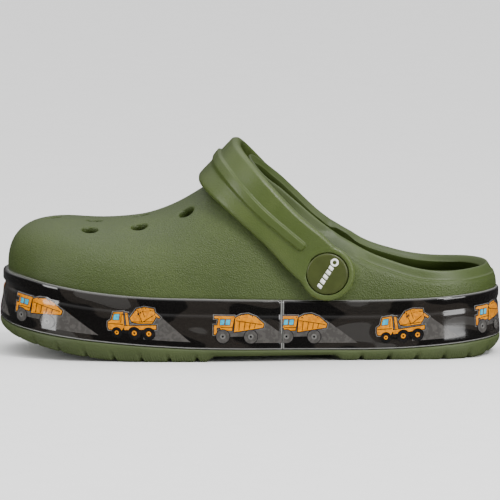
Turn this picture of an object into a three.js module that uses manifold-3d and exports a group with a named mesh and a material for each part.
// A child's foam clog for the left foot, with a swinging heel strap. Millimetres, +Z up.
// The toe points to -X, the heel to +X. The outer (lateral) side of the foot is -Y.
// The origin is on the ground, under the middle of the clog.
import * as THREE from "three";
import { mergeVertices } from "three/addons/utils/BufferGeometryUtils.js";
import Module from "manifold-3d";

const wasm = await Module();
wasm.setup();

// ---- Driving dimensions -------------------------------------------------------------------

const TOE_CENTRE = -62; // x where the round toe begins
const HEEL_CENTRE = 69; // x where the round heel begins
const TOE_REACH = 37; // from the toe centre to the upper's toe tip
const HEEL_REACH = 31.6; // from the heel centre to the back of the upper
const TOE_SQUARENESS = 2.3; // 2 is an ellipse, more is squarer
const HEEL_SQUARENESS = 2.15;
const TOE_FLARE = 1.6; // how much further the sole stands out at the toe than at the sides

const WALL = 3.6; // foam thickness of the upper
const GAP = 0.3; // clearance between pieces that touch
const REBATE = 1.3; // depth of the step in the body that the band sits in
const BAND_OUT = 1.5; // how far the foot of the band stands out past the upper
const FOOTBED_THICKNESS = 3.5;
const MIDSOLE_THICKNESS = 6.5; // foam under the footbed
const LUG_DEPTH = 2.3;

const PIVOT_X = 31.3; // axis of the strap
const PIVOT_Z = 36;
const STRAP_MIDDLE_Y = -2.29; // the strap's plane of symmetry
const STRAP_REST_ANGLE = 44; // degrees above the forward horizontal
const STRAP_INNER_HALF = 36.4; // inside of the strap, from its middle plane
const STRAP_INNER_RADIUS = 58.9; // inside of the strap's crown, from its axis
const STRAP_THICKNESS = 4.0;
const STRAP_END_RADIUS = 11.5;

const BUTTON_RADIUS = 8.7;
const BUTTON_THICKNESS = 1.9;
const POST_RADIUS = 2.6;
const RIVET_HOLE_RADIUS = 3;
const PAD_RADIUS = 9; // flat round pads in the walls, under the strap's ends
const CAP_RADIUS = 7;
const CAP_THICKNESS = 2.6;

const VENT_RADIUS = 3.25;
// Vent holes: distance along the clog, and across it from the middle line.
const VENTS = [
  [-80, -1],
  [-65, -24], [-63.5, -7.5], [-63.5, 9], [-65, 25],
  [-45, -22], [-44.5, -1], [-45, 21],
  [-26, -21.5], [-26, 20],
];

// ---- Lines of the clog, as heights or widths along X ----------------------------------------

// A smooth curve through [x, value] points, level past both ends.
function through(points) {
  const slope = points.map((p, i) => {
    const before = points[Math.max(i - 1, 0)];
    const after = points[Math.min(i + 1, points.length - 1)];
    return (after[1] - before[1]) / (after[0] - before[0]);
  });
  return (x) => {
    const last = points.length - 1;
    if (x <= points[0][0]) return points[0][1];
    if (x >= points[last][0]) return points[last][1];
    const i = points.findIndex((p) => p[0] > x) - 1;
    const width = points[i + 1][0] - points[i][0];
    const t = (x - points[i][0]) / width;
    const t2 = t * t;
    const t3 = t2 * t;
    return (
      (2 * t3 - 3 * t2 + 1) * points[i][1] +
      (t3 - 2 * t2 + t) * width * slope[i] +
      (3 * t2 - 2 * t3) * points[i + 1][1] +
      (t3 - t2) * width * slope[i + 1]
    );
  };
}

const halfWidth = through([
  [-104, 40.6], [-62, 40.6], [-42, 41.4], [-10, 38.9], [15, 35.4], [40, 32.9], [69, 32.6],
]);
const middleLine = through([
  [-104, 6.31], [-85, 3.41], [-62, 1.01], [-40, -0.39], [-10, -2.29], [15, -2.69], [40, -1.89], [69, -0.19],
]);
const bandTop = through([
  [-99, 34], [-91, 33], [-81, 31], [-62, 28.1], [-42, 26.4], [-15, 25.7],
  [15, 25], [45, 24.6], [67, 25], [81, 25.8], [101, 27.2],
]);
const bandFoot = through([
  [-103, 15], [-96, 13], [-88, 11.6], [-76, 9.9], [-62, 8.3], [-41, 6.6],
  [-20, 5.5], [20, 4.9], [45, 4.6], [61, 4.9], [76, 5.9], [102, 8],
]);
const crown = through([
  [-99, 57.6], [-90, 57], [-78, 55.6], [-62, 54.1], [-45, 55.5], [-37, 57.7], [-29, 61.2], [-20, 66.6], [-10, 73.6],
  [0, 81], [9, 86], [20, 86], [30, 76], [40, 66], [55, 54], [69, 48.5], [84, 46], [101, 45.5],
]);
const roundness = through([[-99, 3], [-62, 2.9], [-45, 2.6], [-26, 2.4], [0, 2.3], [101, 2.3]]);
// How far the hollow's crown lies under the outer one. It is less where both are cut away.
const crownDrop = through([[0, WALL], [40, 2.9], [70, 1.8], [101, 1.7]]);
const rimHeight = through([
  [-12, 92.7], [0, 81.2], [8, 73.5], [12, 70], [16.2, 66.2], [20.3, 62.5], [24.4, 58.75], [28.5, 55.2], [32.6, 52.1],
  [36.7, 49.2], [40.8, 46.8], [49, 42.4], [57.3, 39.5], [65.5, 37.15], [73.7, 35.9], [82, 35.7], [90, 36.1], [101, 36.6],
]);
const treadLine = through([
  [-104, 12.5], [-98, 9.2], [-90, 6.6], [-82, 4.8], [-74, 3], [-62, 1.2], [-50, 0.2], [-42, 0], [-34, 0],
  [80, 0], [88, 0], [94, 0.7], [98, 2.4], [103, 5.2],
]);
const treadHeight = (x) => Math.max(0, treadLine(x));

// ---- Outlines and lofts -----------------------------------------------------------------

const TOE_STEPS = 10; // points in a quarter of the toe
const SIDE_STEPS = 13;
const HEEL_STEPS = 8;

const power = (value, exponent) => Math.sign(value) * Math.abs(value) ** exponent;

// One turn round the clog, from the toe tip along the lateral side to the heel and back.
// grow moves it outwards, shrink (0 to 1) draws it in to the clog's long middle line.
function outline(grow, shrink = 1, toeGrow = 0) {
  const half = [];
  for (let i = 0; i <= TOE_STEPS; i++) {
    const angle = (Math.PI / 2) * (i / TOE_STEPS);
    const reach = TOE_REACH + grow + toeGrow;
    half.push([
      TOE_CENTRE - shrink * reach * power(Math.cos(angle), 2 / TOE_SQUARENESS),
      shrink * power(Math.sin(angle), 2 / TOE_SQUARENESS),
    ]);
  }
  for (let i = 1; i < SIDE_STEPS; i++)
    half.push([TOE_CENTRE + (HEEL_CENTRE - TOE_CENTRE) * (i / SIDE_STEPS), shrink]);
  for (let i = 0; i <= HEEL_STEPS; i++) {
    const angle = (Math.PI / 2) * (i / HEEL_STEPS);
    const reach = HEEL_REACH + grow;
    half.push([
      HEEL_CENTRE + shrink * reach * power(Math.sin(angle), 2 / HEEL_SQUARENESS),
      shrink * power(Math.cos(angle), 2 / HEEL_SQUARENESS),
    ]);
  }
  const side = (sign) => ([x, share]) =>
    new THREE.Vector2(x, middleLine(x) + sign * share * (halfWidth(x) + grow));
  const back = half.slice(1, -1).reverse();
  return [...half.map(side(-1)), ...back.map(side(1))];
}

const raise = (points, height) => points.map((p) => new THREE.Vector3(p.x, p.y, height(p.x)));

// Rings of the dome that the upper is cut from. inset draws its sides in and drop lowers its crown.
function domeRings(base, inset = 0, drop = () => 0) {
  const steps = 9;
  const rings = [];
  for (let i = 0; i <= steps; i++) {
    const angle = (Math.PI / 2) * (i / steps) * 0.985;
    const shrink = Math.cos(angle) ** (2 / 2.6);
    const height = (x) => {
      const n = roundness(x);
      return base(x) + (crown(x) - drop(x) - base(x)) * (1 - shrink ** n) ** (1 / n);
    };
    rings.push(raise(outline(-inset, shrink), height));
  }
  return rings;
}

// A closed solid through rings of equal length, from the lowest to the highest.
function loft(rings) {
  const n = rings[0].length;
  const position = rings.flat().flatMap((p) => [p.x, p.y, p.z]);
  const index = [];
  for (let r = 0; r + 1 < rings.length; r++)
    for (let i = 0; i < n; i++) {
      const [a, b] = [r * n + i, r * n + ((i + 1) % n)];
      index.push(a, b, b + n, a, b + n, a + n);
    }
  const top = (rings.length - 1) * n;
  for (let i = 0; i < n / 2; i++) {
    const j = (n - i) % n;
    const [i1, j1] = [i + 1, n - i - 1];
    if (i > 0) {
      index.push(i, j, i1);
      index.push(top + i, top + i1, top + j);
    }
    if (i1 !== j1) {
      index.push(j, j1, i1);
      index.push(top + j, top + i1, top + j1);
    }
  }
  const geometry = new THREE.BufferGeometry();
  geometry.setAttribute("position", new THREE.Float32BufferAttribute(position, 3));
  geometry.setIndex(index);
  return geometry;
}

// ---- Solids, cuts and joins ---------------------------------------------------------------

function solid(geometry) {
  const bare = geometry.index ? geometry.toNonIndexed() : geometry.clone();
  bare.deleteAttribute("normal");
  bare.deleteAttribute("uv");
  const merged = mergeVertices(bare, 1e-4);
  const vertProperties = merged.attributes.position.array;
  const triVerts = new Uint32Array(merged.index.array);
  return new wasm.Manifold(new wasm.Mesh({ numProp: 3, vertProperties, triVerts }));
}

function shape(made) {
  const { numProp, vertProperties, triVerts } = made.getMesh();
  const positions = vertProperties.filter((_, i) => i % numProp < 3);
  const geometry = new THREE.BufferGeometry();
  geometry.setAttribute("position", new THREE.BufferAttribute(new Float32Array(positions), 3));
  geometry.setIndex(new THREE.BufferAttribute(new Uint32Array(triVerts), 1));
  return geometry;
}

// A round bar between two points.
function bar(from, to, radius, sides = 24) {
  const along = new THREE.Vector3().subVectors(to, from);
  const geometry = new THREE.CylinderGeometry(radius, radius, along.length(), sides);
  const turn = new THREE.Quaternion().setFromUnitVectors(
    new THREE.Vector3(0, 1, 0),
    along.clone().normalize(),
  );
  geometry.applyQuaternion(turn);
  geometry.translate(...from.clone().add(to).multiplyScalar(0.5).toArray());
  return solid(geometry);
}

// A round bar along Y on the strap's axis.
const axle = (y0, y1, radius, sides) =>
  bar(new THREE.Vector3(PIVOT_X, y0, PIVOT_Z), new THREE.Vector3(PIVOT_X, y1, PIVOT_Z), radius, sides);

// ---- Upper: walls, vamp and midsole, moulded in one -------------------------------------------

const upperBase = (x) => bandTop(x) + GAP;
const floor = (x) => bandFoot(x) + MIDSOLE_THICKNESS;

// Where each face of the strap's ends lies, to the lateral (-1) or medial (1) side.
const endInside = (side) => STRAP_MIDDLE_Y + side * (STRAP_INNER_HALF - 0.4);
const endOutside = (side) => endInside(side) + side * STRAP_THICKNESS;
const wallInside = (side) => middleLine(PIVOT_X) + side * (halfWidth(PIVOT_X) - WALL - 0.6);

function upperShell() {
  const body = solid(
    loft([
      raise(outline(-REBATE), bandFoot),
      raise(outline(-REBATE), upperBase),
      ...domeRings(upperBase),
    ]),
  );
  const hollow = solid(
    loft([
      raise(outline(-REBATE - 4.6), floor),
      raise(outline(-REBATE - 3.3), (x) => floor(x) + 2),
      raise(outline(-REBATE - 3.3), (x) => bandTop(x) - 4),
      ...domeRings(bandTop, WALL, crownDrop),
    ]),
  );
  const mouth = new THREE.Shape();
  mouth.moveTo(130, 120);
  for (let x = 130; x >= -12; x -= 3) mouth.lineTo(x, rimHeight(x));
  mouth.lineTo(-12, 120);
  const opening = new THREE.ExtrudeGeometry(mouth, { depth: 120, bevelEnabled: false });
  opening.rotateX(Math.PI / 2).translate(0, 60, 0);

  let upper = body.subtract(hollow).subtract(solid(opening));
  for (const side of [-1, 1]) {
    const pad = axle(wallInside(side), endInside(side) - side * GAP, PAD_RADIUS, 32);
    const seat = axle(side * 5, wallInside(side), PAD_RADIUS, 32);
    upper = upper.add(pad).subtract(seat);
  }
  for (const side of [-1, 1])
    upper = upper.subtract(axle(side * 20, side * 50, RIVET_HOLE_RADIUS, 24));
  return VENTS.reduce((made, [x, across]) => made.subtract(ventHole(x, across)), upper);
}

// A vent hole, square to the surface of the vamp.
function ventHole(x, across) {
  const height = (px, py) => {
    const toe = Math.max(0, (TOE_CENTRE - px) / TOE_REACH);
    const side = Math.abs(py - middleLine(px)) / halfWidth(px);
    const shrink = (side ** TOE_SQUARENESS + toe ** TOE_SQUARENESS) ** (1 / TOE_SQUARENESS);
    const n = roundness(px);
    return upperBase(px) + (crown(px) - upperBase(px)) * (1 - shrink ** n) ** (1 / n);
  };
  const y = middleLine(x) + across;
  const centre = new THREE.Vector3(x, y, height(x, y));
  const normal = new THREE.Vector3(
    height(x - 1, y) - height(x + 1, y),
    height(x, y - 1) - height(x, y + 1),
    2,
  ).normalize();
  const reach = normal.multiplyScalar(9);
  return bar(centre.clone().sub(reach), centre.clone().add(reach), VENT_RADIUS, 20);
}

// ---- Footbed: the loose foam sole that the foot stands on -----------------------------------

function footbed() {
  const edge = -REBATE - 4.6 - 0.5;
  return loft([
    raise(outline(edge - 0.6), (x) => floor(x) + GAP),
    raise(outline(edge + 0.4), (x) => floor(x) + GAP + 1.6),
    raise(outline(edge + 0.4), (x) => floor(x) + GAP + FOOTBED_THICKNESS + 1.2),
    raise(outline(edge - 5), (x) => floor(x) + GAP + FOOTBED_THICKNESS),
  ]);
}

// ---- Outsole: the tread plate under the whole clog --------------------------------------------

const plateFoot = (x) => treadHeight(x) + LUG_DEPTH;

function outsole() {
  const top = (x) => bandFoot(x) - GAP;
  const blend = (share) => (x) => top(x) + (plateFoot(x) - top(x)) * share;
  const plate = solid(
    loft([
      raise(outline(-1.2, 1, 0), plateFoot),
      raise(outline(0.7, 1, TOE_FLARE * 0.5), blend(0.8)),
      raise(outline(BAND_OUT, 1, TOE_FLARE), blend(0.4)),
      raise(outline(BAND_OUT - 0.2, 1, TOE_FLARE), top),
    ]),
  );
  return [...edgeLugs(), ...crossLugs()].reduce((made, lug) => made.add(lug), plate);
}

// A block between four plan points, from the tread up into the plate.
function lug(corners) {
  const foot = raise(corners, treadHeight);
  const head = raise(corners, (x) => plateFoot(x) + 0.5);
  const position = [...foot, ...head].flatMap((p) => [p.x, p.y, p.z]);
  const geometry = new THREE.BufferGeometry();
  geometry.setAttribute("position", new THREE.Float32BufferAttribute(position, 3));
  geometry.setIndex([
    0, 2, 1, 0, 3, 2, 4, 5, 6, 4, 6, 7, 0, 1, 5, 0, 5, 4, 1, 2, 6, 1, 6, 5, 2, 3, 7, 2, 7, 6, 3, 0, 4, 3, 4, 7,
  ]);
  const made = solid(geometry);
  return made.volume() > 0 ? made : solid(geometry.setIndex([...geometry.index.array].reverse()));
}

const inArch = (x) => x > -16 && x < 38;

// Blocks all round the edge, square to it, apart from the arch.
function edgeLugs() {
  const pitch = 11;
  const block = 9.4;
  const outer = outline(-1.4);
  const inner = outline(-11);
  const reached = [0];
  outer.forEach((p, i) => reached.push(reached[i] + p.distanceTo(outer[(i + 1) % outer.length])));
  const perimeter = reached.at(-1);
  const pair = (distance) => {
    const goal = distance % perimeter;
    const i = reached.findIndex((r) => r > goal) - 1;
    const next = (i + 1) % outer.length;
    const part = (goal - reached[i]) / (reached[i + 1] - reached[i]);
    return [outer[i].clone().lerp(outer[next], part), inner[i].clone().lerp(inner[next], part)];
  };
  const count = Math.round(perimeter / pitch);
  const lugs = [];
  for (let i = 0; i < count; i++) {
    const start = (i * perimeter) / count;
    const [outerStart, innerStart] = pair(start);
    const [outerEnd, innerEnd] = pair(start + block);
    const corners = [outerStart, outerEnd, innerEnd, innerStart];
    if (!corners.some((p) => inArch(p.x))) lugs.push(lug(corners));
  }
  return lugs;
}

// Bars across the middle of the tread, under the ball of the foot and under the heel.
function crossLugs() {
  const bars = [];
  for (const [first, last] of [[-78, -22], [44, 84]])
    for (let x = first; x <= last; x += 8) {
      const reach = (px) => {
        const nearToe = Math.max(0, (TOE_CENTRE - px) / TOE_REACH);
        const nearHeel = Math.max(0, (px - HEEL_CENTRE) / HEEL_REACH);
        return halfWidth(px) * Math.sqrt(1 - nearToe ** 2 - nearHeel ** 2) - 14;
      };
      const half = Math.min(reach(x), reach(x + 5));
      if (half < 3) continue;
      const corner = (px, sign) => new THREE.Vector2(px, middleLine(px) + sign * half);
      bars.push(lug([corner(x, -1), corner(x + 5, -1), corner(x + 5, 1), corner(x, 1)]));
    }
  return bars;
}

// ---- Printed band: a glossy plastic strip round the sole, in two halves ---------------------------

const BAND_SEAM_X = 13;
// Section of the band: how far out, and the share of the way from its foot to its top.
const BAND_SECTION = [
  [-REBATE + GAP, 0], [BAND_OUT - 0.4, 0], [BAND_OUT, 0.05], [1, 0.4], [0.45, 0.64],
  [0.1, 0.7], [0.55, 0.76], [0.8, 0.86], [0.4, 0.96], [-REBATE + GAP, 1],
];

// atToe picks the half that goes round the toe. The other goes round the heel.
function band(atToe) {
  const stations = bandStations(atToe);
  const position = [];
  for (const i of stations)
    for (const [out, up] of BAND_SECTION) {
      const flare = TOE_FLARE * Math.max(0, out) / BAND_OUT;
      const p = i(out, flare);
      position.push(p.x, p.y, bandFoot(p.x) + (bandTop(p.x) - bandFoot(p.x)) * up);
    }
  const m = BAND_SECTION.length;
  const index = [];
  for (let s = 0; s + 1 < stations.length; s++)
    for (let k = 0; k < m; k++) {
      const [a, b] = [s * m + k, s * m + ((k + 1) % m)];
      index.push(a, b, b + m, a, b + m, a + m);
    }
  const last = (stations.length - 1) * m;
  const cap = THREE.ShapeUtils.triangulateShape(BAND_SECTION.map(([x, y]) => new THREE.Vector2(x, y * 20)), []);
  for (const [a, b, c] of cap) index.push(a, c, b, last + a, last + b, last + c);
  const geometry = new THREE.BufferGeometry();
  geometry.setAttribute("position", new THREE.Float32BufferAttribute(position, 3));
  geometry.setIndex(solidIsInsideOut(geometry, index) ? index.reverse() : index);
  return geometry;
}

function solidIsInsideOut(geometry, index) {
  geometry.setIndex(index);
  return solid(geometry).volume() < 0;
}

// Functions that give a plan point of the outline at each station, ends cut square at the seams.
function bandStations(atToe) {
  const count = outline(0).length;
  const cut = BAND_SEAM_X + (atToe ? -GAP / 2 : GAP / 2);
  const plan = (i) => (out, flare) => outline(out, 1, flare)[i];
  const edge = (side) => (out) =>
    new THREE.Vector2(cut, middleLine(cut) + side * (halfWidth(cut) + out));
  const inside = (i) => (atToe ? outline(0)[i].x < cut - 1 : outline(0)[i].x > cut + 1);
  const order = [...Array(count).keys()].map((i) => (atToe ? (i + count / 2) % count : i));
  const kept = order.filter(inside).map(plan);
  return atToe ? [edge(1), ...kept, edge(-1)] : [edge(-1), ...kept, edge(1)];
}

// ---- Heel strap -----------------------------------------------------------------------------

// Half the strap's width at each distance from its axis.
const strapHalf = through([[0, 11], [12, 10], [26, 8.7], [42, 9.2], [60, 11.6]]);

// Made with its axis on Y through the origin and its crown straight up, then laid forward.
function heelStrap() {
  const roundness = 3.8;
  const steps = 40;
  const arch = (half, radius, i) => {
    const angle = Math.PI * (i / steps);
    return [
      -half * power(Math.cos(angle), 2 / roundness),
      radius * Math.sin(angle) ** (2 / roundness),
    ];
  };
  const rings = [];
  for (let i = 0; i <= steps; i++) {
    const [innerY, innerZ] = arch(STRAP_INNER_HALF, STRAP_INNER_RADIUS, i);
    const [outerY, outerZ] = arch(STRAP_INNER_HALF + STRAP_THICKNESS, STRAP_INNER_RADIUS + STRAP_THICKNESS, i);
    const half = strapHalf(innerZ);
    rings.push([
      [-half + 0.8, innerY, innerZ], [half - 0.8, innerY, innerZ],
      [half, innerY * 0.6 + outerY * 0.4, innerZ * 0.6 + outerZ * 0.4],
      [half - 1.5, outerY, outerZ], [-half + 1.5, outerY, outerZ],
      [-half, innerY * 0.6 + outerY * 0.4, innerZ * 0.6 + outerZ * 0.4],
    ]);
  }
  const m = rings[0].length;
  const index = [];
  for (let r = 0; r < steps; r++)
    for (let k = 0; k < m; k++) {
      const [a, b] = [r * m + k, r * m + ((k + 1) % m)];
      index.push(a, b, b + m, a, b + m, a + m);
    }
  for (let k = 1; k + 1 < m; k++) index.push(0, k + 1, k, steps * m, steps * m + k, steps * m + k + 1);
  const sweep = new THREE.BufferGeometry();
  sweep.setAttribute("position", new THREE.Float32BufferAttribute(rings.flat(2), 3));
  if (solidIsInsideOut(sweep, index)) sweep.setIndex(index.reverse());
  sweep.rotateY(-THREE.MathUtils.degToRad(90 - STRAP_REST_ANGLE));
  sweep.translate(PIVOT_X, STRAP_MIDDLE_Y, PIVOT_Z);

  let strap = solid(sweep);
  for (const side of [-1, 1]) {
    const face = endOutside(side);
    strap = strap
      .add(axle(endInside(side), face, STRAP_END_RADIUS, 48))
      .subtract(axle(face - side * BUTTON_THICKNESS, face + side * 10, BUTTON_RADIUS + GAP, 40))
      .subtract(axle(side * 20, side * 60, RIVET_HOLE_RADIUS, 24));
    strap = strap.subtract(axle(side * 20, endInside(side), STRAP_END_RADIUS + 1, 48));
  }
  return strap;
}

// ---- Rivets: a button outside with a post, and a cap inside that snaps on to it ---------------------

function rivetButton(side) {
  const face = endOutside(side) + side * 0.2;
  const seat = face - side * (BUTTON_THICKNESS - 0.1);
  const postEnd = wallInside(side) - side * (CAP_THICKNESS - 1);
  return axle(face, seat, BUTTON_RADIUS, 40).add(axle(seat + side * 0.5, postEnd, POST_RADIUS, 24));
}

function rivetCap(side) {
  const back = wallInside(side) - side * GAP;
  const front = back - side * CAP_THICKNESS;
  const socketEnd = wallInside(side) - side * (CAP_THICKNESS - 0.7);
  return axle(back, front, CAP_RADIUS, 32).subtract(axle(back + side * 5, socketEnd, POST_RADIUS + GAP, 24));
}

// ---- Finishes and assembly ----------------------------------------------------------------------

const finish = (color, roughness) => new THREE.MeshStandardMaterial({ color, roughness, metalness: 0 });
const GREEN_FOAM = finish(0x65754a, 0.6);
const SOLE_FOAM = finish(0x5f7440, 0.65);
const OLIVE_PLASTIC = finish(0x4f5a2e, 0.45);
const PRINTED_PLASTIC = finish(0x26221f, 0.12);

const clog = new THREE.Group();

function add(name, geometry, material) {
  const mesh = new THREE.Mesh(geometry, material);
  mesh.name = name;
  clog.add(mesh);
}

add("upper_shell", shape(upperShell()), GREEN_FOAM);
add("footbed", footbed(), GREEN_FOAM);
add("outsole", shape(outsole()), SOLE_FOAM);
add("toe_band", band(true), PRINTED_PLASTIC);
add("heel_band", band(false), PRINTED_PLASTIC);
add("heel_strap", shape(heelStrap()), GREEN_FOAM);
for (const [name, side] of [["lateral", -1], ["medial", 1]]) {
  add(name + "_rivet_button", shape(rivetButton(side)), OLIVE_PLASTIC);
  add(name + "_rivet_cap", shape(rivetCap(side)), OLIVE_PLASTIC);
}

export default clog;
